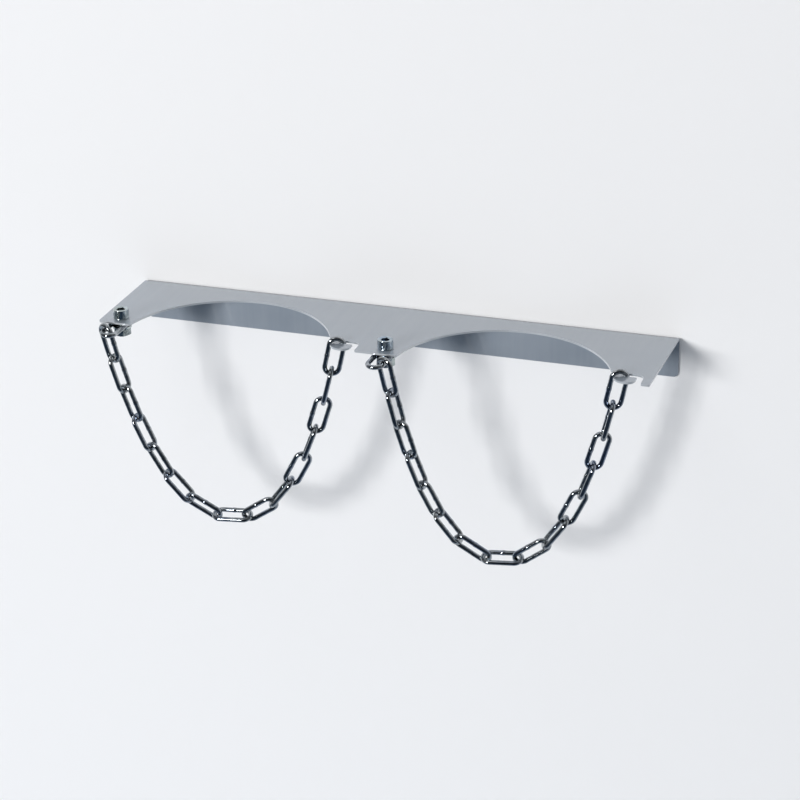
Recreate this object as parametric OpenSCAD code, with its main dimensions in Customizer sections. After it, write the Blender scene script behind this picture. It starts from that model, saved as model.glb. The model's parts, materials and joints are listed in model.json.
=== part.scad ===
// Wall bracket for two upright gas cylinders: a folded sheet shelf with two round bays in its front
// edge, and across the front of each bay a retaining chain. One end of a chain is bolted under the
// shelf, and the other end drops into a hook-shaped slot. The origin is the middle of the rear face's
// line of wall holes: x runs along the wall, the wall is at y = 0, and the viewer stands at -y.

/* [Shelf] */
// Width across the rear edge
shelf_width = 586; // [580:1:600]
// Depth from the wall to the front edge
shelf_depth = 120; // [116:1:126]
// Height of the wall flange, from the shelf's top to its lower edge
flange_height = 43; // [38:1:60]
// Thickness of the folded sheet
sheet = 2; // [1.6:0.1:2.5]
// Inside radius of the fold
fold_radius = 2; // [1:0.5:4]
// How much the left edge runs in towards the front
left_taper = 1; // [0:0.5:3]
// How much the right edge runs in towards the front
right_taper = 5; // [4:0.5:6]

/* [Bays] */
// Radius of the two round bays
bay_radius = 110.5; // [106:0.5:112]
// Distance between the centres of the bays
bay_spacing = 290; // [286:1:292]
// How far the middle of the two bays lies left of the middle of the shelf
bay_shift = 2.3; // [1:0.1:3]
// How far the bay centres lie in front of the front edge
bay_lead = 17.8; // [15:0.1:21]

/* [Hook slots] */
// Width of a slot, which a link of the chain drops into
slot_width = 7; // [6.5:0.1:7.5]
// Radius of the seat, a shallow notch in a bay's edge beside its slot
seat_radius = 12; // [11:0.5:13]
// Depth of the seat beyond the bay's edge
seat_depth = 3.8; // [3:0.1:4.2]
// Width of the neck of sheet between the seat and the slot, which the end link straddles
neck_width = 5.4; // [5:0.1:5.8]
// Distance from the front edge back to the middle of the slot
slot_inset = 17; // [16:0.1:18.5]
// Length of the slot from its closed end to its outer corner
slot_length = 21.2; // [21:0.1:22]
// Width of the opening between the hook's tip and the nose beside it
mouth_width = 6.6; // [6.4:0.1:7.2]
// Rounding of the slot's outer corner
slot_corner = 8; // [6:0.5:9]
// Rounding of the tongue's front left corner
tongue_left_radius = 14; // [10:0.5:14]
// Rounding of the tongue's front right corner
tongue_right_radius = 8; // [6:0.5:9]

/* [Screws] */
// Diameter of the screws that hold the chains, just under their nominal ten
screw_d = 9.8; // [9.6:0.05:9.9]
// Length of a screw under its head
screw_length = 20; // [20:1:25]
// Diameter of a screw's head
head_d = 16; // [15:0.5:18]
// Height of a screw's head
head_height = 10; // [8:0.5:11]
// Width across the flats of the hexagon socket
socket_flats = 8; // [7:0.5:9]
// Width across the flats of a nut
nut_flats = 17; // [16:0.5:18]
// Height of a nut
nut_height = 8; // [6:0.1:8.4]
// Diameter of a washer
washer_d = 20; // [18:0.5:21]
// Thickness of a washer
washer_thickness = 2; // [1.5:0.1:2.5]
// Distance from the front edge back to the screws
screw_inset = 14; // [12:0.5:16]
// Distance from a bay's centre to the screw at its left
screw_offset = 125.1; // [124:0.1:127]

/* [Chains] */
// Diameter of the wire of a link
wire = 5; // [4.8:0.05:5.1]
// Inside length of a link, which is the pitch of the chain
link_pitch = 35; // [34.5:0.1:35.5]
// Turn of the fixing links, front end to the left
fixing_turn = 5; // [3:1:8]
// Droop of the fixing links towards the front
fixing_droop = 4; // [2:0.5:6]

/* [Wall holes] */
// Diameter of the three holes in the flange
wall_hole_d = 9; // [6:0.5:11]
// Distance between neighbouring wall holes
wall_hole_spacing = 250; // [200:5:260]
// Depth of the holes' line below the shelf's top
wall_hole_drop = 22; // [18:0.5:24]

/* [Hidden] */
link_count = 15;
sides = ["left", "right"];
function link_name(side, number) =
    str("chain_", sides[side], "_link_", number < 10 ? "0" : "", number);
$fn = 96;

// Heights of the shelf's two faces above the line of the wall holes
top_z = wall_hole_drop;
under_z = top_z - sheet;
front_y = -shelf_depth;

// Clearances: pieces that bear on each other, and the little play of link on link
seat_gap = 0.04;
link_gap = 0.12;
// Rounding of the sheet's small corners
rounding = 1.5;
// How far the cutting shapes run past what they cut
beyond = 5;

// Sizes of a link, from its wire and the screw that its eye goes round
eye_radius = screw_d / 2 + 0.1;
bend_r = eye_radius + wire / 2;
half_straight = link_pitch / 2 - eye_radius;

function bay_x(side) = -bay_shift + (side - 0.5) * bay_spacing;
bay_y = front_y - bay_lead;
function screw_x(side) = bay_x(side) - screw_offset;
screw_y = front_y + screw_inset;
function screw_point(side) = [screw_x(side), screw_y, 0];

// Where the bay's edge lies at a given depth, measured from the bay's centre
function bay_edge(y) = sqrt(pow(bay_radius, 2) - pow(y - bay_y, 2));
slot_y = front_y + slot_inset;
// The seat's middle lies where the end link's left leg passes, a little in front of the slot's
seat_y = slot_y - 4;
seat_end = bay_edge(seat_y) + seat_depth;
slot_end = seat_end + neck_width;
slot_corner_x = slot_end + slot_length;
mouth_x = slot_corner_x - mouth_width;

// ---- Sums and small helpers ----
function total(values) = values * [for (value = values) 1];
function vector_sum(vectors) =
    len(vectors) == 0 ? [0, 0, 0] : [for (value = vectors) 1] * vectors;

// What a corner loses when it is rounded with radius r: corner at the origin, sheet in the +x +y
// quarter
module corner_waste(r) {
    difference() {
        translate([-r / 8, -r / 8]) square(r * 9 / 8);
        translate([r, r]) circle(r);
    }
}

// ---- The folded sheet ----
// Rounding of the flange's two lower corners
flange_corner = 5;
// Play of a screw in its hole in the sheet, all round
screw_play = 0.6;

module shelf_outline() {
    polygon([
        [-shelf_width / 2, -sheet - fold_radius],
        [shelf_width / 2, -sheet - fold_radius],
        [shelf_width / 2 - right_taper, front_y],
        [-shelf_width / 2 + left_taper, front_y]
    ]);
}

// The sharp tip between a bay's edge and the front edge, outside a rounding of radius r. The
// rounding's centre lies r inside both edges. side_sign is -1 at a bay's left end and 1 at its right.
module bay_tip_waste(r, side_sign) {
    centre_y = front_y + r;
    centre_x = sqrt(pow(bay_radius + r, 2) - pow(centre_y - bay_y, 2));
    reach = bay_radius / (bay_radius + r);
    on_bay = [centre_x * reach, bay_y + (centre_y - bay_y) * reach];
    difference() {
        polygon([
            [side_sign * on_bay[0], on_bay[1]],
            [side_sign * (bay_edge(front_y) - 1), front_y - 1],
            [side_sign * centre_x, front_y - 1],
            [side_sign * centre_x, centre_y]
        ]);
        translate([side_sign * centre_x, centre_y]) circle(r);
    }
}

// The hook-shaped slot: a leg along the shelf from the closed end, round the outer corner and out
// through the front edge
module slot_outline() {
    half = slot_width / 2;
    translate([slot_end + half, slot_y]) circle(half);
    difference() {
        union() {
            translate([slot_end + half, slot_y - half]) square([slot_length - half, slot_width]);
            translate([mouth_x, front_y - beyond]) square([mouth_width, slot_y - front_y + beyond]);
        }
        translate([slot_corner_x, slot_y + half]) rotate(180) corner_waste(slot_corner);
    }
}

module bay_cutout() {
    translate([0, bay_y]) circle(bay_radius, $fn = 180);
    translate([seat_end - seat_radius, seat_y]) circle(seat_radius);
    bay_tip_waste(rounding, -1);
    bay_tip_waste(tongue_left_radius, 1);
    slot_outline();
    translate([mouth_x, front_y]) rotate(90) corner_waste(tongue_right_radius);
    translate([slot_corner_x, front_y]) corner_waste(rounding);
}

module shelf_plate() {
    difference() {
        shelf_outline();
        for (side = [0, 1]) {
            translate([bay_x(side), 0]) bay_cutout();
            translate([screw_x(side), screw_y]) circle(screw_d / 2 + screw_play);
        }
        translate([-shelf_width / 2 + left_taper, front_y]) corner_waste(2 * rounding);
        translate([shelf_width / 2 - right_taper, front_y]) rotate(90) corner_waste(rounding);
    }
}

// The quarter round of the fold and the flange below it, seen from the side as y and z
module fold_and_flange() {
    outer_r = fold_radius + sheet;
    translate([0, -outer_r, top_z - outer_r]) rotate([90, 0, 90])
        translate([0, 0, -shelf_width / 2]) fold_quarter(outer_r, shelf_width);
    difference() {
        translate([-shelf_width / 2, -sheet, top_z - flange_height])
            cube([shelf_width, sheet, flange_height - outer_r]);
        for (hole = [-1 : 1]) {
            translate([hole * wall_hole_spacing, beyond, 0]) rotate([90, 0, 0])
                cylinder(d = wall_hole_d, h = 3 * beyond);
        }
        for (mirrored = [0, 1]) {
            mirror([mirrored, 0, 0]) translate([-shelf_width / 2, -sheet - 1, top_z - flange_height])
                rotate([90, 0, 0]) mirror([0, 0, 1]) linear_extrude(sheet + 2) corner_waste(flange_corner);
        }
    }
}
// A quarter of a tube with the sheet's thickness
module fold_quarter(outer_r, length) {
    linear_extrude(length) intersection() {
        difference() {
            circle(outer_r);
            circle(fold_radius);
        }
        square(outer_r);
    }
}

module bracket() {
    color("silver") {
        translate([0, 0, under_z]) linear_extrude(sheet) shelf_plate();
        fold_and_flange();
    }
}

// ---- Screws, washers and nuts ----
head_chamfer = 1;
socket_depth = 5;
// The cone that leads into the socket: its depth, and its radius at the head's top face
socket_lead_depth = 1.2;
socket_lead_r = socket_flats / sqrt(3) + 0.7;

module hexagon(flats) {
    circle(r = flats / sqrt(3), $fn = 6);
}

module screw(side) {
    color("gainsboro") translate(screw_point(side)) difference() {
        union() {
            translate([0, 0, top_z - screw_length]) cylinder(d = screw_d, h = screw_length + 1);
            translate([0, 0, top_z + seat_gap]) rotate_extrude() polygon([
                [0, 0],
                [head_d / 2, 0],
                [head_d / 2, head_height - head_chamfer],
                [head_d / 2 - head_chamfer, head_height],
                [0, head_height]
            ]);
        }
        translate([0, 0, top_z + head_height - socket_depth])
            linear_extrude(socket_depth + 1) hexagon(socket_flats);
        translate([0, 0, top_z + seat_gap + head_height - socket_lead_depth]) cylinder(
            r1 = socket_lead_r - socket_lead_depth,
            r2 = socket_lead_r,
            h = socket_lead_depth
        );
    }
}

// Heights of the fixing link's rear end and of the washer that it bears on
fixing_z = under_z - seat_gap - wire / 2 - bend_r * sin(fixing_droop);
bearing_reach = sqrt(pow(washer_d / 2, 2) - pow(bend_r, 2));
washer_top = fixing_z - bearing_reach * sin(fixing_droop) - wire / 2 / cos(fixing_droop) - seat_gap;
nut_top = washer_top - washer_thickness;

module washer(side) {
    color("silver") translate(screw_point(side) + [0, 0, nut_top]) difference() {
        cylinder(d = washer_d, h = washer_thickness);
        translate([0, 0, -1]) cylinder(d = screw_d + screw_play, h = washer_thickness + 2);
    }
}

module nut(side) {
    nut_chamfer = 1;
    corner_r = nut_flats / sqrt(3);
    color("silver") translate(screw_point(side) + [0, 0, nut_top - nut_height]) difference() {
        intersection() {
            linear_extrude(nut_height) hexagon(nut_flats);
            rotate_extrude() polygon([
                [0, 0],
                [corner_r - 2 * nut_chamfer, 0],
                [corner_r, nut_chamfer],
                [corner_r, nut_height - nut_chamfer],
                [corner_r - 2 * nut_chamfer, nut_height],
                [0, nut_height]
            ]);
        }
        translate([0, 0, -1]) cylinder(d = screw_d + 2 * seat_gap, h = nut_height + 2);
    }
}

// ---- Chain links ----
// One link of bent and welded wire, lying in the xy plane with its length along x
module link() {
    for (mirrored = [0, 1]) {
        mirror([mirrored, 0, 0]) translate([half_straight, 0, 0])
            rotate(-90) rotate_extrude(angle = 180) translate([bend_r, 0]) circle(d = wire, $fn = 48);
        mirror([0, mirrored, 0]) translate([-half_straight, bend_r, 0]) rotate([0, 90, 0])
            cylinder(d = wire, h = 2 * half_straight, $fn = 48);
    }
}

// A fixing link has the screw in its rear end and lies in the gap between shelf and washer
module fixing_link(side) {
    color("silver") translate(screw_point(side) + [0, 0, fixing_z]) rotate(-90 - fixing_turn)
        rotate([0, fixing_droop, 0]) translate([half_straight, 0, 0]) link();
}

// The first hanging link goes round one of the fixing link's straight legs, a little behind its
// front end: the left chain round the left leg and the right chain round the right leg
hang_leg = [-1, 1];
hang_back = 3;

function hang_point(side) =
    let (
        along = 2 * half_straight - hang_back,
        across = bend_r * hang_leg[side],
        level = along * cos(fixing_droop)
    )
    screw_point(side) + [
        -level * sin(fixing_turn) + across * cos(fixing_turn),
        -level * cos(fixing_turn) - across * sin(fixing_turn),
        fixing_z - along * sin(fixing_droop)
    ];

// Each chain hangs in one upright plane. Its links follow the rule for equal weights on a string:
// the slope of a link is proportional to its distance, counted in links, from the lowest point.
// level_pull is the constant sideways pull and low_link the lowest point, both counted in links.
function link_slope(level_pull, low_link, k) = atan2(low_link - k - 0.5, level_pull);
function joint_bend(level_pull, low_link, k) =
    k == 0 || k == link_count
    ? 0
    : link_slope(level_pull, low_link, k - 1) - link_slope(level_pull, low_link, k);

// Links that meet at a bend nest less deeply than two that lie in line. The first and the last
// joint have more play, because the chain's belly swings on them.
nest_rate = 0.75 * wire;
swing_play = 0.14;
function joint_play(level_pull, low_link, k) =
    link_gap / 2
    + nest_rate * (1 - cos(joint_bend(level_pull, low_link, k)))
    + (k == 1 || k == link_count - 1 ? swing_play : 0);
function link_run(level_pull, low_link, k) =
    link_pitch - joint_play(level_pull, low_link, k) - joint_play(level_pull, low_link, k + 1);

function chain_span(level_pull, low_link) = total([
    for (k = [0 : link_count - 1])
        link_run(level_pull, low_link, k) * cos(link_slope(level_pull, low_link, k))
]);
function chain_drop(level_pull, low_link) = total([
    for (k = [0 : link_count - 1])
        link_run(level_pull, low_link, k) * sin(link_slope(level_pull, low_link, k))
]);

// Newton's method for the pull and the lowest point that give the span and drop between the ends
function hang(level_pull, low_link, span, drop, steps) =
    steps == 0
    ? [level_pull, low_link]
    : let (
        e = 0.001,
        span_miss = chain_span(level_pull, low_link) - span,
        drop_miss = chain_drop(level_pull, low_link) - drop,
        span_by_pull = (chain_span(level_pull + e, low_link) - span - span_miss) / e,
        span_by_low = (chain_span(level_pull, low_link + e) - span - span_miss) / e,
        drop_by_pull = (chain_drop(level_pull + e, low_link) - drop - drop_miss) / e,
        drop_by_low = (chain_drop(level_pull, low_link + e) - drop - drop_miss) / e,
        scale = span_by_pull * drop_by_low - span_by_low * drop_by_pull
    )
    hang(
        level_pull - (span_miss * drop_by_low - drop_miss * span_by_low) / scale,
        low_link - (drop_miss * span_by_pull - span_miss * drop_by_pull) / scale,
        span, drop, steps - 1
    );

// The end link straddles the neck, leaning like the rest of the chain and turned a little from the
// front. Its eye rests on the neck's two edges, and its right leg goes down through the slot. The
// round wire meets the sharp edges a little outside the eye's middle plane, by edge_reach.
end_lean = 15;
end_turn = 22;
edge_reach = 0.95;
rest_half = neck_width / 2 / cos(end_turn) + edge_reach;
rest_drop = sqrt(pow(eye_radius, 2) - pow(rest_half, 2));
function hook_point(side) = [
    bay_x(side) + slot_end - neck_width / 2 + eye_radius * sin(end_lean),
    slot_y - bend_r * sin(end_turn),
    top_z - rest_drop + eye_radius * cos(end_lean)
];

// Rolls of the links about their own length: every second link stands across its neighbours, and
// the whole chain is twisted a little between its ends
cross_roll = 98.5;
twist = 12;
function link_roll(end_roll, k) =
    end_roll - twist * (1 - k / (link_count - 1)) + (k % 2) * cross_roll;

module chain_link(side, number) {
    start = hang_point(side) + [0, 0, wire / 2 + 2 * link_gap];
    finish = hook_point(side);
    run = finish - start;
    solved = hang(1.5, link_count / 2, norm([run[0], run[1]]), -run[2], 12);
    heading = atan2(run[1], run[0]);
    k = number - 1;
    slope = link_slope(solved[0], solved[1], k);
    before = [
        for (j = [0 : 1 : k - 1])
            let (s = link_slope(solved[0], solved[1], j))
            link_run(solved[0], solved[1], j) * [cos(s), 0, -sin(s)]
    ];
    to_middle = (link_pitch / 2 - joint_play(solved[0], solved[1], k)) * [cos(slope), 0, -sin(slope)];
    along = vector_sum(before) + to_middle;
    color("silver") translate(start) rotate(heading) translate(along)
        rotate([0, slope, 0]) rotate([90 - link_roll(heading - end_turn, k), 0, 0]) link();
}

bracket();
for (side = [0, 1]) {
    screw(side);
    washer(side);
    nut(side);
    fixing_link(side);
    for (number = [1 : link_count]) {
        chain_link(side, number);
    }
}
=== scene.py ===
# %% [markdown]
# # A wall bracket for two gas cylinders, dressed in Blender
#
# The real thing is a folded steel shelf that is screwed to a laboratory wall. Two gas cylinders
# stand in its round bays, and a chain closes the front of each bay. The CAD model already holds
# the shapes: this script gives each piece the finish that it has in real life, adds the small
# pieces that a CAD model leaves out, and sets up a plain studio.
#
# Its pieces must not be moved, so everything that is new here is fitted to them, in metres, in
# the same frame: x along the wall, z up, wall at y = 0.

import json
import math

import bmesh
import bpy
import numpy as np
from mathutils import Matrix, Vector


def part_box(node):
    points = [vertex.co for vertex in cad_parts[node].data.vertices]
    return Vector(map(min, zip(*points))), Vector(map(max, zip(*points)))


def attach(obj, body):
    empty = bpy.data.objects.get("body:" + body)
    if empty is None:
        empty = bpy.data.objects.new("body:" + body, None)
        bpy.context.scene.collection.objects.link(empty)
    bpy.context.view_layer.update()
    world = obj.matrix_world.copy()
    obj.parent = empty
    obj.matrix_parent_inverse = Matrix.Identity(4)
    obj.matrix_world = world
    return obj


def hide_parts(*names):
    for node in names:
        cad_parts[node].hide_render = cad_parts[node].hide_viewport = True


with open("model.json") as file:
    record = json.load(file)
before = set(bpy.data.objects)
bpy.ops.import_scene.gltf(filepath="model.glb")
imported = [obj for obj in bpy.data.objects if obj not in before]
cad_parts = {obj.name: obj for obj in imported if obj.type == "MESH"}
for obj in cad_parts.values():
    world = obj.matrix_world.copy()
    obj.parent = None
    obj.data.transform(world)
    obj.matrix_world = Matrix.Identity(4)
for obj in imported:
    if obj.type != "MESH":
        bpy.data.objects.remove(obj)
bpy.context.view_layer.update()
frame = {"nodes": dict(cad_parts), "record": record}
scene = bpy.context.scene
MM = 0.001
SIDES = ("left", "right")

# %% [markdown]
# ## The camera
#
# The camera comes first, because every finish is judged through it. It stands to the right of
# the bracket and above it and looks down by about 25 degrees. A long lens keeps the far end of
# the shelf almost as large as the near end. The three directions below are the camera's own
# right, down and forward. Blender's camera looks along its -Z axis with +Y up, so two of them
# change sign.

# %% Camera
CAMERA_PLACE = Vector((635.3, -1848.1, 832.1)) * MM
CAMERA_RIGHT = Vector((0.94782, 0.31814, -0.02064))
CAMERA_DOWN = Vector((0.11751, -0.40881, -0.90502))
CAMERA_FORWARD = Vector((-0.29636, 0.85537, -0.42486))
FOCAL_PIXELS = 2024.36
PICTURE_PIXELS = 800
SENSOR_MM = 36

camera_data = bpy.data.cameras.new("camera")
camera_data.sensor_width = SENSOR_MM
camera_data.lens = SENSOR_MM * FOCAL_PIXELS / PICTURE_PIXELS
camera = bpy.data.objects.new("camera", camera_data)
turn = Matrix((CAMERA_RIGHT, -CAMERA_DOWN, -CAMERA_FORWARD)).transposed()
camera.matrix_world = Matrix.Translation(CAMERA_PLACE) @ turn.to_4x4()
scene.collection.objects.link(camera)
scene.camera = camera
print(f"camera: lens {camera_data.lens:.1f} mm")

# %% [markdown]
# ## Writing shaders as sums
#
# A material is a graph of nodes. Clicked together by hand, even `0.1 + mask * 0.3` takes two nodes
# and some wires, and in a script it takes ten lines. The small class below wraps one socket, so
# that the same graph can be written as the sum that it stands for. It knows plus and times, which
# is all that these materials need, with the number on either side. Numbers go through Math nodes.
# Colours go through Mix, because a Math node would turn a colour grey.

# %% A socket that can be added and multiplied
class Wire:
    """One output socket of a material under construction."""

    def __init__(self, tree, socket):
        self.tree = tree
        self.socket = socket

    def sum_with(self, operation, first, second):
        return node(self.tree, "ShaderNodeMath", {"operation": operation}, {0: first, 1: second})[0]

    def __add__(self, other):
        return self.sum_with("ADD", self, other)

    def __mul__(self, other):
        return self.sum_with("MULTIPLY", self, other)

    __radd__ = __add__
    __rmul__ = __mul__


class Outputs:
    """The outputs of a node, by number or by name."""

    def __init__(self, tree, made):
        self.tree = tree
        self.made = made

    def __getitem__(self, key):
        return Wire(self.tree, self.made.outputs[key])


# %% [markdown]
# Every other node comes from one function. It takes the node's type, its settings, which are set
# first because they can change the sockets, and what goes into its sockets: a number, a colour or
# a wire.

# %% Any node at all
def node(tree, kind, settings=None, values=None):
    made = tree.nodes.new(kind)
    for name, setting in (settings or {}).items():
        setattr(made, name, setting)
    for key, value in (values or {}).items():
        if isinstance(value, Wire):
            tree.links.new(value.socket, made.inputs[key])
        else:
            made.inputs[key].default_value = value
    return Outputs(tree, made)


def noise(tree, where, scale, detail=3.0, roughness=0.5):
    values = {"Vector": where, "Scale": scale, "Detail": detail, "Roughness": roughness}
    return node(tree, "ShaderNodeTexNoise", values=values)["Fac"]


def between(tree, value, low, high, to_low=0.0, to_high=1.0):
    """value moved from the range low to high into the range to_low to to_high, and kept there."""
    values = {0: value, 1: low, 2: high, 3: to_low, 4: to_high}
    return node(tree, "ShaderNodeMapRange", values=values)[0]


def mixed_colour(tree, mask, first, second):
    """first where mask is 0 and second where it is 1."""
    values = {0: mask, 6: first, 7: second}
    return node(tree, "ShaderNodeMix", {"data_type": "RGBA"}, values)[2]


def stretched(tree, where, scale):
    return node(tree, "ShaderNodeMapping", values={"Vector": where, "Scale": scale})[0]


def new_material(name):
    """A material with its tree emptied, and a wire with the object coordinates, in metres."""
    material = bpy.data.materials.new(name)
    material.use_nodes = True
    tree = material.node_tree
    tree.nodes.clear()
    where = node(tree, "ShaderNodeTexCoord")["Object"]
    return material, tree, where


def finish_material(tree, values):
    """Ends a tree with a Principled shader. Its varying inputs are wires, the others numbers."""
    shader = node(tree, "ShaderNodeBsdfPrincipled", values=values)
    node(tree, "ShaderNodeOutputMaterial", values={"Surface": shader["BSDF"]})


def rgb(red, green, blue):
    return (red, green, blue, 1.0)


# %% [markdown]
# ## The sheet
#
# The shelf is cold-rolled sheet with a bright satin finish. Looked at steeply it is matt, and at a
# flat angle it turns into a mirror: the screw heads and the wall show in the shelf's top. A rough
# metal under a thin smooth coat does both, because a coat reflects little head-on and much at a
# flat angle. Over that lie faint marks from front to back, which are partly the sheet's own marks
# and partly a painted reflection of streaks, a little cloudiness where the finish took unevenly,
# and fine specks. The cut edges are painted paler: partly as the bare metal that the laser left,
# partly as a painted highlight along the edges. All of it is noise in the shader. A noise has no
# resolution, and no seam at the fold.

# %% Sheet finish
SHELF_TOP = 0.022
SHEET = 0.002
FOLD_OUTER = 0.004
SHEET_DARK, SHEET_LIGHT = rgb(0.315, 0.36, 0.415), rgb(0.36, 0.40, 0.45)
# The cut edges' colour, paler than the sheet: partly bare metal, partly a painted highlight.
PALE_EDGE_AND_HIGHLIGHT = rgb(0.58, 0.61, 0.64)


def sheet_finish():
    material, tree, where = new_material("satin_sheet")
    # Streaks from front to back: partly the sheet's own marks, partly a painted reflection. They
    # set the colour, the roughness and the bump.
    marks_and_painted_reflection = noise(tree, stretched(tree, where, (90.0, 5.0, 5.0)), 1.6, 3.0, 0.6)
    clouds = noise(tree, stretched(tree, where, (6.0, 9.0, 9.0)), 2.0, 3.0, 0.55)
    specks = noise(tree, where, 1100.0, 2.0, 0.6)
    tone = between(tree, clouds * 0.6 + marks_and_painted_reflection * 0.4, 0.36, 0.66)
    plain = mixed_colour(tree, tone, SHEET_DARK, SHEET_LIGHT)
    # The cut edges, walls of the shelf plate that stand upright in front of the fold, are painted
    # paler: partly bare metal, partly a painted highlight.
    facing = node(tree, "ShaderNodeNewGeometry")["Normal"]
    upwards = node(tree, "ShaderNodeSeparateXYZ", values={0: facing})["Z"]
    level = node(tree, "ShaderNodeMath", {"operation": "ABSOLUTE"}, {0: upwards})[0]
    place = node(tree, "ShaderNodeSeparateXYZ", values={0: where})
    in_plate = between(tree, place["Z"], SHELF_TOP - 1.15 * SHEET, SHELF_TOP - 1.05 * SHEET)
    in_front = between(tree, place["Y"], -1.1 * FOLD_OUTER, -FOLD_OUTER, 1.0, 0.0)
    edge_and_highlight_mask = between(tree, level, 0.3, 0.5, 1.0, 0.0) * in_plate * in_front
    colour = mixed_colour(tree, edge_and_highlight_mask, plain, PALE_EDGE_AND_HIGHLIGHT)
    roughness = between(tree, clouds + marks_and_painted_reflection * 0.5, 0.5, 1.0, 0.42, 0.52)
    heights = {"Strength": 0.03, "Distance": 0.0002, "Height": marks_and_painted_reflection * 0.4 + specks * 0.6}
    bump = node(tree, "ShaderNodeBump", values=heights)["Normal"]
    finish = {
        "Base Color": colour,
        "Metallic": 0.45,
        "Roughness": roughness,
        "Normal": bump,
        "Coat Weight": 1.0,
        "Coat Roughness": 0.03,
        "Coat IOR": 2.0,
    }
    finish_material(tree, finish)
    return material


sheet_material = sheet_finish()
print("made", sheet_material.name)

# %% [markdown]
# ## Bright zinc plate
#
# Chain, screws, washers and nuts are zinc plated. Fresh zinc is a bluish mirror, with a thin
# passivation that drifts between blue and straw. Handling turns it darker in its hollows. The
# plating is the same on all of these pieces, so one function makes each finish, with a darker or
# lighter ground colour: the chain looks darkest, because it was drawn from black wire and its
# plating is thin.

# %% Plated finishes
def plated_finish(name, dark, light, rough_low, rough_high):
    material, tree, where = new_material(name)
    patches = noise(tree, where, 160.0, 3.0, 0.55)
    drift = noise(tree, where, 35.0, 2.0, 0.5)
    grit = noise(tree, where, 1400.0, 2.0, 0.65)
    tone = between(tree, patches, 0.35, 0.65)
    plain = mixed_colour(tree, tone, dark, light)
    hue = between(tree, drift, 0.48, 0.7, 0.0, 0.5)
    blue = rgb(dark[0] * 0.9, dark[1] * 1.05, dark[2] * 1.5)
    colour = mixed_colour(tree, hue, plain, blue)
    roughness = between(tree, patches + grit * 0.4, 0.45, 0.95, rough_low, rough_high)
    bump = node(
        tree,
        "ShaderNodeBump",
        values={"Strength": 0.12, "Distance": 0.0002, "Height": patches * 0.5 + grit * 0.5},
    )["Normal"]
    finish_material(
        tree, {"Base Color": colour, "Metallic": 1.0, "Roughness": roughness, "Normal": bump}
    )
    return material


chain_material = plated_finish(
    "plated_chain", rgb(0.21, 0.23, 0.245), rgb(0.42, 0.44, 0.455), 0.03, 0.10
)
fastener_material = plated_finish(
    "plated_fastener", rgb(0.36, 0.41, 0.41), rgb(0.58, 0.63, 0.62), 0.05, 0.14
)
print("made", chain_material.name, "and", fastener_material.name)

# %% [markdown]
# ## Each finish onto its pieces
#
# The bracket gets the satin sheet, every link gets the chain's plating, and the screws, washers
# and nuts get the fasteners' plating. The table names each piece once, so a piece that has no
# finish stops the script here instead of turning up plain in the render.

# %% Finishes onto the CAD pieces
CHAIN_LINKS = [f"chain_{side}_link_{number:02d}" for side in SIDES for number in range(1, 16)]
CHAIN_LINKS += [f"{side}_fixing_link" for side in SIDES]
FINISH_OF = {"bracket": sheet_material}
FINISH_OF.update({link: chain_material for link in CHAIN_LINKS})
FINISH_OF.update(
    {f"{side}_{piece}": fastener_material for side in SIDES for piece in ("screw", "washer", "nut")}
)
for name, cad_piece in frame["nodes"].items():
    cad_piece.data.materials.clear()
    cad_piece.data.materials.append(FINISH_OF[name])
print("finished", len(frame["nodes"]), "CAD pieces")

# %% [markdown]
# ## New pieces
#
# Every new piece starts as an empty bmesh, Blender's mesh under construction.

# %% From a bmesh to a piece
def piece_from(bm, name, body, material, smooth_below=35.0):
    bmesh.ops.recalc_face_normals(bm, faces=bm.faces)
    mesh = bpy.data.meshes.new(name)
    bm.to_mesh(mesh)
    bm.free()
    mesh.materials.append(material)
    mesh.shade_smooth()
    mesh.set_sharp_from_angle(angle=math.radians(smooth_below))
    made = bpy.data.objects.new(name, mesh)
    scene.collection.objects.link(made)
    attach(made, body)
    return made


def body_of(node_name):
    groups = frame["record"]["behaviour"]["bodies"]
    return next(body for body, members in groups.items() if node_name in members)


def lathe(bm, profile, steps):
    """Turns a profile of (radius, height) about the z axis into a closed skin."""
    rim = [bm.verts.new((radius, 0.0, height)) for radius, height in profile]
    edges = [bm.edges.new(pair) for pair in zip(rim, rim[1:])]
    bmesh.ops.spin(
        bm,
        geom=rim + edges,
        cent=(0, 0, 0),
        axis=(0, 0, 1),
        angle=2 * math.pi,
        steps=steps,
        use_merge=True,
    )


# %% [markdown]
# ## The screws
#
# Each chain is held by a socket head screw. The CAD screw is a plain turned shape, and the real
# one has more to see: a knurled head that fingers can turn, small rounded edges, a hexagon socket
# with a countersunk mouth, and a thread. The head is turned on a lathe: a half profile is spun
# round the axis. The knurl comes from pushing every second column of the head's wall inwards. The
# socket's mouth is a ring of edges bridged to a hexagon, which is then pushed down and closed.
#
# A thread is one V-shaped tooth that travels along the axis while it turns. The spin operator
# does exactly that when it is given a step to move by. Both ends are then cut flat and closed.

# %% Screw sizes, in millimetres
HEAD_R, HEAD_HEIGHT, HEAD_GAP, HEAD_ROUNDING = 8.0, 10.0, 0.04, 0.6
KNURL_RIDGES, KNURL_DEPTH = 44, 0.14
KNURL_LOW, KNURL_HIGH, KNURL_RUNOUT = 1.0, 9.0, 0.3
SOCKET_FLATS, SOCKET_DEPTH, SOCKET_LEAD = 8.0, 5.0, 0.7
THREAD_R, THREAD_PITCH, THREAD_DEPTH, THREAD_STEPS = 4.88, 1.5, 0.8, 36
SHANK_LENGTH, PLAIN_SHANK, SHANK_IN_HEAD = 20.0, 2.4, 0.5


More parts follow.
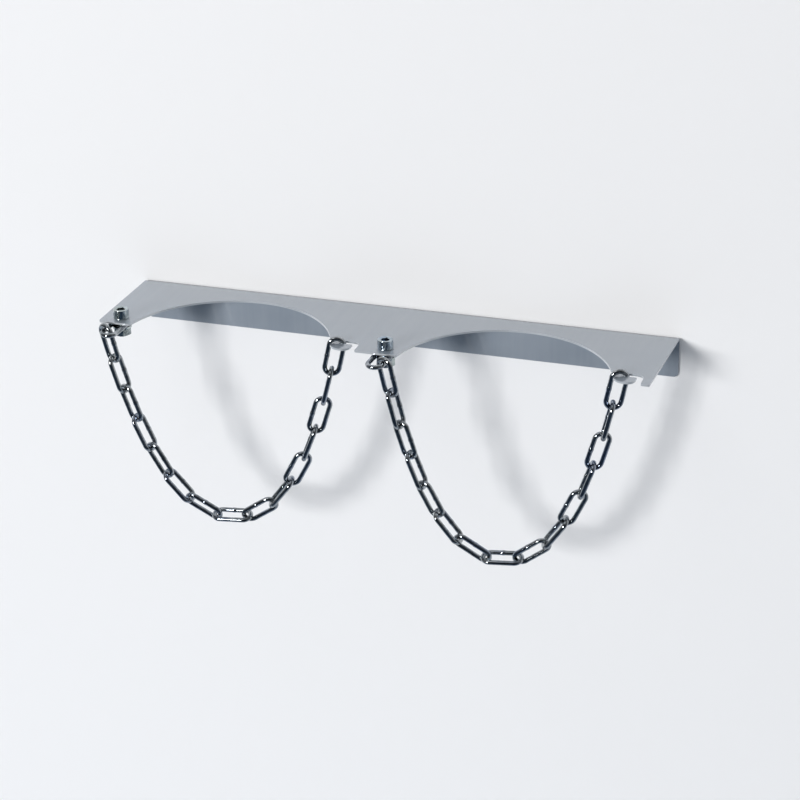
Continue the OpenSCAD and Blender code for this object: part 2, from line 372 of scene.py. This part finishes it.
# %% The screw's head
def screw_head(bm, seat):
    top = seat + HEAD_HEIGHT
    round_steps = [math.radians(angle) for angle in (0, 22.5, 45, 67.5, 90)]
    inner = HEAD_R - HEAD_ROUNDING
    rounding = [
        (inner + HEAD_ROUNDING * math.cos(a), top - HEAD_ROUNDING + HEAD_ROUNDING * math.sin(a))
        for a in round_steps
    ]
    mouth_r = SOCKET_FLATS / math.sqrt(3) + SOCKET_LEAD
    profile = [
        (THREAD_R, seat),
        (HEAD_R - HEAD_ROUNDING, seat),
        (HEAD_R, seat + HEAD_ROUNDING),
        (HEAD_R, seat + KNURL_LOW),
        (HEAD_R, seat + KNURL_LOW + KNURL_RUNOUT),
        (HEAD_R, seat + KNURL_HIGH - KNURL_RUNOUT),
        (HEAD_R, seat + KNURL_HIGH),
        *rounding,
        (mouth_r, top),
    ]
    lathe(bm, profile, 2 * KNURL_RIDGES)
    column = math.pi / KNURL_RIDGES
    for vert in bm.verts:
        on_wall = abs(vert.co.xy.length - HEAD_R) < 0.001
        above = vert.co.z - seat
        in_knurl = KNURL_LOW + KNURL_RUNOUT / 3 < above < KNURL_HIGH - KNURL_RUNOUT / 3
        turn_number = round(math.atan2(vert.co.y, vert.co.x) / column)
        if on_wall and in_knurl and turn_number % 2:
            vert.co.xy *= 1 - KNURL_DEPTH / HEAD_R
    mouth = [
        edge
        for edge in bm.edges
        if edge.is_boundary and all(abs(v.co.xy.length - mouth_r) < 0.001 for v in edge.verts)
    ]
    corner_r = SOCKET_FLATS / math.sqrt(3)
    hexagon = bmesh.ops.create_circle(bm, segments=6, radius=corner_r)["verts"]
    bmesh.ops.translate(bm, verts=hexagon, vec=(0, 0, top - SOCKET_LEAD))
    hex_edges = list({edge for vert in hexagon for edge in vert.link_edges})
    bmesh.ops.bridge_loops(bm, edges=mouth + hex_edges)
    walls = bmesh.ops.extrude_edge_only(bm, edges=hex_edges)["geom"]
    floor_verts = [item for item in walls if isinstance(item, bmesh.types.BMVert)]
    bmesh.ops.translate(bm, verts=floor_verts, vec=(0, 0, SOCKET_LEAD - SOCKET_DEPTH))
    floor_edges = [
        item for item in walls if isinstance(item, bmesh.types.BMEdge) and item.is_boundary
    ]
    bmesh.ops.contextual_create(bm, geom=floor_edges)


# %% [markdown]
# The tooth below is drawn at the start of the thread and swept upwards turn by turn. It starts two
# turns too low and ends a turn too high, so that both cuts go through whole teeth.

# %% The screw's thread
def screw_thread(bm, low, high):
    """A threaded rod from low to high, with flat closed ends."""
    start = low - 2 * THREAD_PITCH
    turns = math.ceil((high - start) / THREAD_PITCH) + 1
    root = THREAD_R - THREAD_DEPTH
    tooth = [(root, 0.0), (root, 0.1), (THREAD_R, 0.46), (THREAD_R, 0.64), (root, 1.0)]
    rim = [bm.verts.new((r, 0.0, start + share * THREAD_PITCH)) for r, share in tooth]
    edges = [bm.edges.new(pair) for pair in zip(rim, rim[1:])]
    bmesh.ops.spin(
        bm,
        geom=rim + edges,
        cent=(0, 0, 0),
        axis=(0, 0, 1),
        dvec=(0, 0, THREAD_PITCH / THREAD_STEPS),
        angle=2 * math.pi * turns,
        steps=THREAD_STEPS * turns,
    )
    bmesh.ops.remove_doubles(bm, verts=bm.verts, dist=0.002)
    for height, sign in ((low, -1), (high, 1)):
        cut = bmesh.ops.bisect_plane(
            bm,
            geom=bm.verts[:] + bm.edges[:] + bm.faces[:],
            plane_co=(0, 0, height),
            plane_no=(0, 0, sign),
            clear_outer=True,
        )
        rim = [item for item in cut["geom_cut"] if isinstance(item, bmesh.types.BMEdge)]
        bmesh.ops.contextual_create(bm, geom=rim)


# %% [markdown]
# A screw is the thread, a short plain shank and the head in one mesh. It is built in millimetres
# about the z axis. Then it is scaled to metres and moved over the CAD screw, whose box gives the
# place. It replaces that screw, so that two of them don't show through each other.

# %% Both screws
def make_screw(side):
    low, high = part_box(f"{side}_screw")
    middle = (low + high) / 2
    top_of_plate = SHELF_TOP / MM
    bm = bmesh.new()
    screw_thread(bm, top_of_plate - SHANK_LENGTH, top_of_plate - PLAIN_SHANK)
    shank = bmesh.ops.create_cone(
        bm,
        cap_ends=True,
        segments=THREAD_STEPS,
        radius1=THREAD_R,
        radius2=THREAD_R,
        depth=PLAIN_SHANK + HEAD_GAP + SHANK_IN_HEAD,
    )["verts"]
    shank_middle = top_of_plate + (HEAD_GAP + SHANK_IN_HEAD - PLAIN_SHANK) / 2
    bmesh.ops.translate(bm, verts=shank, vec=(0, 0, shank_middle))
    head = bmesh.new()
    screw_head(head, top_of_plate + HEAD_GAP)
    head_mesh = bpy.data.meshes.new("head")
    head.to_mesh(head_mesh)
    head.free()
    bm.from_mesh(head_mesh)
    bpy.data.meshes.remove(head_mesh)
    bmesh.ops.scale(bm, verts=bm.verts, vec=(MM, MM, MM))
    bmesh.ops.translate(bm, verts=bm.verts, vec=(middle.x, middle.y, 0.0))
    screw = piece_from(bm, f"screw_{side}", "shelf", fastener_material)
    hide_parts(f"{side}_screw")
    return screw


for side in SIDES:
    screw = make_screw(side)
    print("made", screw.name, "with", len(screw.data.polygons), "faces")

# %% [markdown]
# ## The welds of the links
#
# Each link is a piece of wire that was bent round and welded shut in the middle of one leg. The
# weld stays visible as a slight swelling, which the eye picks up as a glint in an otherwise even
# line. One small barrel is turned for each link. To put it in place, the script asks the CAD
# link's own vertices which way the link lies: the direction in which they spread most is its
# length, and the second is its width.

# %% How a link lies
LINK_LEG = 7.5
WIRE_R = 2.5
WELD_R, WELD_LENGTH = 2.78, 5.2
WELD_SUNK, WELD_FULLNESS, WELD_SIDES = 0.1, 0.7, 20
WELD_STEPS = (-1.0, -0.75, -0.5, -0.2, 0.2, 0.5, 0.75, 1.0)


def link_lie(name):
    """The middle of a link and its unit vectors along its length and its width, in metres."""
    mesh = frame["nodes"][name].data
    points = np.empty(len(mesh.vertices) * 3)
    mesh.vertices.foreach_get("co", points)
    points = np.unique(points.reshape(-1, 3).round(7), axis=0)
    spread = points - (points.max(axis=0) + points.min(axis=0)) / 2
    directions = np.linalg.eigh(np.cov(spread.T))[1]
    along, across = Vector(directions[:, 2]), Vector(directions[:, 1])
    reach = [points @ directions[:, k] for k in range(3)]
    middle = sum(
        (Vector(directions[:, k]) * (reach[k].max() + reach[k].min()) / 2 for k in range(3)),
        Vector(),
    )
    sizes = [float(reach[k].max() - reach[k].min()) / MM for k in (2, 1, 0)]
    return middle, along, across, sizes


print("link 8 of the left chain, mm:", [round(s, 2) for s in link_lie("chain_left_link_08")[3]])


# %% [markdown]
# The barrel's ends lie just under the wire's surface, so that no step shows where it begins. Its
# two end rings are closed, and the whole barrel is turned to lie along the link's upper leg.

# %% One weld for each link
def make_weld(link):
    middle, along, across, _ = link_lie(link)
    if across.z < 0:
        across = -across
    bm = bmesh.new()
    end_r = WIRE_R - WELD_SUNK
    profile = []
    for step in WELD_STEPS:
        swell = math.cos(step * math.pi / 2) ** WELD_FULLNESS if abs(step) < 1 else 0.0
        profile.append((end_r + (WELD_R - end_r) * swell, step * WELD_LENGTH / 2))
    lathe(bm, profile, WELD_SIDES)
    for end in (-1, 1):
        ring = [
            edge
            for edge in bm.edges
            if edge.is_boundary and all(v.co.z * end > 0 for v in edge.verts)
        ]
        bmesh.ops.contextual_create(bm, geom=ring)
    bmesh.ops.scale(bm, verts=bm.verts, vec=(MM, MM, MM))
    basis = Matrix((across, along.cross(across), along)).transposed().to_4x4()
    place = Matrix.Translation(middle + across * LINK_LEG * MM) @ basis
    bmesh.ops.transform(bm, matrix=place, verts=bm.verts)
    return piece_from(bm, f"weld_{link}", body_of(link), chain_material)


for link in CHAIN_LINKS:
    make_weld(link)
print("made", len(CHAIN_LINKS), "welds")

# %% [markdown]
# ## The studio
#
# The bracket hangs on a plain pale wall above a plain pale floor. The wall stands a little way
# behind the bracket's rear face, so that the two never flicker through each other.

# %% Wall and floor
WALL_SIZE = 7.0
FLOOR_HEIGHT = -1.15
WALL_GAP = 0.0006
NEAR_WALL = 0.003


def plane(name, corners, material):
    bm = bmesh.new()
    bm.faces.new([bm.verts.new(corner) for corner in corners])
    mesh = bpy.data.meshes.new(name)
    bm.to_mesh(mesh)
    bm.free()
    made = bpy.data.objects.new(name, mesh)
    mesh.materials.append(material)
    scene.collection.objects.link(made)
    return made


def wall_paint():
    """Pale paint in front. From behind, and for the bracket's rear face that almost touches it,
    the wall is clear as air, so that the rear face can be looked at."""
    material = bpy.data.materials.new("wall_paint")
    material.use_nodes = True
    tree = material.node_tree
    tree.nodes.clear()
    paint = node(tree, "ShaderNodeBsdfDiffuse", values={"Color": rgb(0.89, 0.885, 0.885)})["BSDF"]
    clear = node(tree, "ShaderNodeBsdfTransparent")["BSDF"]
    behind = node(tree, "ShaderNodeNewGeometry")["Backfacing"]
    length = node(tree, "ShaderNodeLightPath")["Ray Length"]
    less_than, larger = {"operation": "LESS_THAN"}, {"operation": "MAXIMUM"}
    touching = node(tree, "ShaderNodeMath", less_than, {0: length, 1: NEAR_WALL})[0]
    open_mask = node(tree, "ShaderNodeMath", larger, {0: behind, 1: touching})[0]
    surface = node(tree, "ShaderNodeMixShader", values={0: open_mask, 1: paint, 2: clear})[0]
    node(tree, "ShaderNodeOutputMaterial", values={"Surface": surface})
    return material


def floor_paint():
    material = bpy.data.materials.new("floor_paint")
    material.use_nodes = True
    tree = material.node_tree
    tree.nodes.clear()
    paint = node(tree, "ShaderNodeBsdfDiffuse", values={"Color": rgb(0.64, 0.71, 0.80)})["BSDF"]
    node(tree, "ShaderNodeOutputMaterial", values={"Surface": paint})
    return material


half = WALL_SIZE / 2
plane(
    "wall",
    [
        (-half, WALL_GAP, FLOOR_HEIGHT),
        (half, WALL_GAP, FLOOR_HEIGHT),
        (half, WALL_GAP, FLOOR_HEIGHT + WALL_SIZE),
        (-half, WALL_GAP, FLOOR_HEIGHT + WALL_SIZE),
    ],
    wall_paint(),
)
plane(
    "floor",
    [
        (-half, -half, FLOOR_HEIGHT),
        (half, -half, FLOOR_HEIGHT),
        (half, half, FLOOR_HEIGHT),
        (-half, half, FLOOR_HEIGHT),
    ],
    floor_paint(),
)
print("studio: wall and floor")

# %% [markdown]
# One large soft lamp stands far off to the left in front and a little above, so that the wall is
# lit evenly and the shadows on it fall to the right and slightly down. A weak second lamp lights
# from above. Polished metal shows what surrounds it, and in an all white room it would look like
# white paint. Photographers stand a dark card behind the camera and lay another before it, to put
# dark bands into such metal. The same two cards are here, and only reflections can see them. The
# upright card stands behind the lamp, because in front of it the card would hide the lamp's
# glints. The world lights dimly, and looks pale only to the camera.

# %% Lamps, the dark cards and the world
LAMP_AIM = Vector((0.0, -0.06, -0.05))


def soft_lamp(name, direction, distance, size, power, colour=(1.0, 1.0, 1.0)):
    """A square lamp that shines on the middle of the bracket from the given direction."""
    lamp = bpy.data.lights.new(name, "AREA")
    lamp.shape = "SQUARE"
    lamp.size = size
    lamp.energy = power
    lamp.color = colour
    made = bpy.data.objects.new(name, lamp)
    towards = Vector(direction).normalized()
    made.location = LAMP_AIM + towards * distance
    made.rotation_mode = "QUATERNION"
    made.rotation_quaternion = towards.to_track_quat("Z", "Y")
    scene.collection.objects.link(made)


soft_lamp("key", (-0.38, -0.90, 0.22), 9.0, 2.1, 575.0)
soft_lamp("sky", (-0.30, -0.45, 0.85), 2.6, 1.0, 4.0, (0.95, 0.97, 1.0))


def card_paint(name, colour):
    material = bpy.data.materials.new(name)
    material.use_nodes = True
    tree = material.node_tree
    tree.nodes.clear()
    dark = node(tree, "ShaderNodeEmission", values={"Color": colour})["Emission"]
    node(tree, "ShaderNodeOutputMaterial", values={"Surface": dark})
    return material


def dark_card(name, colour, corners):
    """A card that only reflections can see."""
    card = plane(name, corners, card_paint(name, colour))
    card.visible_camera = False
    card.visible_diffuse = False
    card.visible_shadow = False


NEAR_BLACK, DARK_BLUE = rgb(0.012, 0.016, 0.022), rgb(0.035, 0.055, 0.085)
CARD_SIDE, CARD_FRONT, CARD_NEAR, CARD_TOP = 9.5, -9.2, -0.8, 6.8
CARD_FOOT = FLOOR_HEIGHT + 0.002
dark_card(
    "card_upright",
    NEAR_BLACK,
    [
        (-CARD_SIDE, CARD_FRONT, CARD_FOOT),
        (CARD_SIDE, CARD_FRONT, CARD_FOOT),
        (CARD_SIDE, CARD_FRONT, CARD_TOP),
        (-CARD_SIDE, CARD_FRONT, CARD_TOP),
    ],
)
dark_card(
    "card_level",
    DARK_BLUE,
    [
        (-CARD_SIDE, CARD_FRONT, CARD_FOOT),
        (CARD_SIDE, CARD_FRONT, CARD_FOOT),
        (CARD_SIDE, CARD_NEAR, CARD_FOOT),
        (-CARD_SIDE, CARD_NEAR, CARD_FOOT),
    ],
)

WORLD_LIGHT, WORLD_SEEN = 0.23, 0.88
world = bpy.data.worlds.new("world")
scene.world = world
world.use_nodes = True
world.node_tree.nodes.clear()
seen = node(world.node_tree, "ShaderNodeLightPath")["Is Camera Ray"]
strength = WORLD_LIGHT + seen * (WORLD_SEEN - WORLD_LIGHT)
sky = node(
    world.node_tree,
    "ShaderNodeBackground",
    values={"Color": rgb(0.95, 0.97, 1.0), "Strength": strength},
)
node(world.node_tree, "ShaderNodeOutputWorld", values={"Surface": sky["Background"]})
scene.view_settings.view_transform = "Standard"
print("studio: two lamps, two dark cards and the world")
